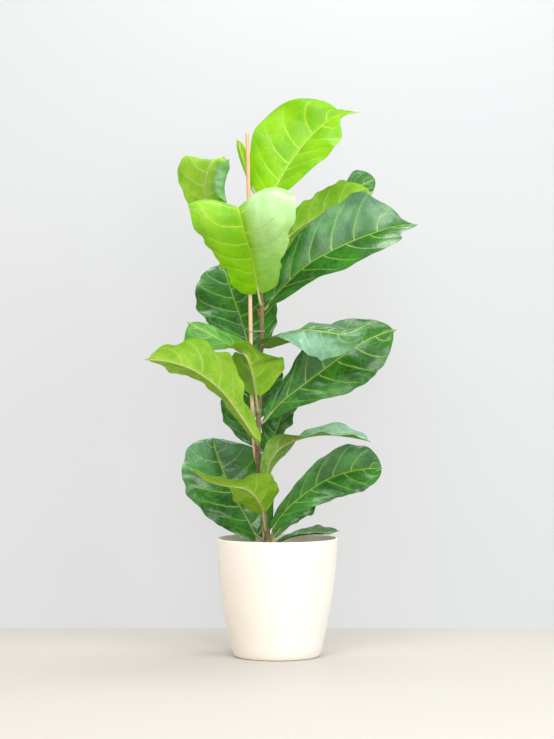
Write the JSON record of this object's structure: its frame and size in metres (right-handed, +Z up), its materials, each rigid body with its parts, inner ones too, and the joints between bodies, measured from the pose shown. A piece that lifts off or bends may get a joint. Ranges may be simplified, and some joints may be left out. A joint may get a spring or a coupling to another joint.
{
  "type": "potted fiddle leaf fig",
  "caption": "Upright fiddle leaf fig houseplant with large waxy leaves on a single caned stem, in a plain rounded tapered cream cover pot.",
  "frame": {"origin": "centre of the pot's flat underside, on the floor", "axes": "+Z up along the pot's axis and the plant's height; -Y is the plant's front, where the tall front leaf stands before the stem; +X is to the viewer's right"},
  "size_m": [0.4452, 0.2706, 0.9234],
  "materials": {
    "pot": "satin",
    "soil": "matte",
    "stem": "matte",
    "bud": "satin",
    "cane": "satin",
    "tie": "satin",
    "stipule": "matte",
    "leaf_mature": "satin",
    "leaf_middle": "satin",
    "leaf_young": "satin"
  },
  "bodies": {
    "root": {"pot": "pot", "soil": "soil", "stem": "stem", "bud": "bud", "cane": "cane", "tie_1": "tie", "tie_2": "tie", "stipule_1": "stipule", "stipule_2": "stipule", "stipule_3": "stipule", "leaf_01": "leaf_young", "leaf_02": "leaf_young", "leaf_03": "leaf_middle", "leaf_04": "leaf_young", "leaf_05": "leaf_middle", "leaf_06": "leaf_mature", "leaf_07": "leaf_mature", "leaf_08": "leaf_mature", "leaf_09": "leaf_mature", "leaf_10": "leaf_mature", "leaf_11": "leaf_middle", "leaf_12": "leaf_middle", "leaf_13": "leaf_mature", "leaf_14": "leaf_mature", "leaf_15": "leaf_mature", "leaf_16": "leaf_mature", "leaf_17": "leaf_mature", "leaf_18": "leaf_middle", "leaf_19": "leaf_mature", "leaf_20": "leaf_mature", "leaf_21": "leaf_mature"}
  },
  "joints": []
}
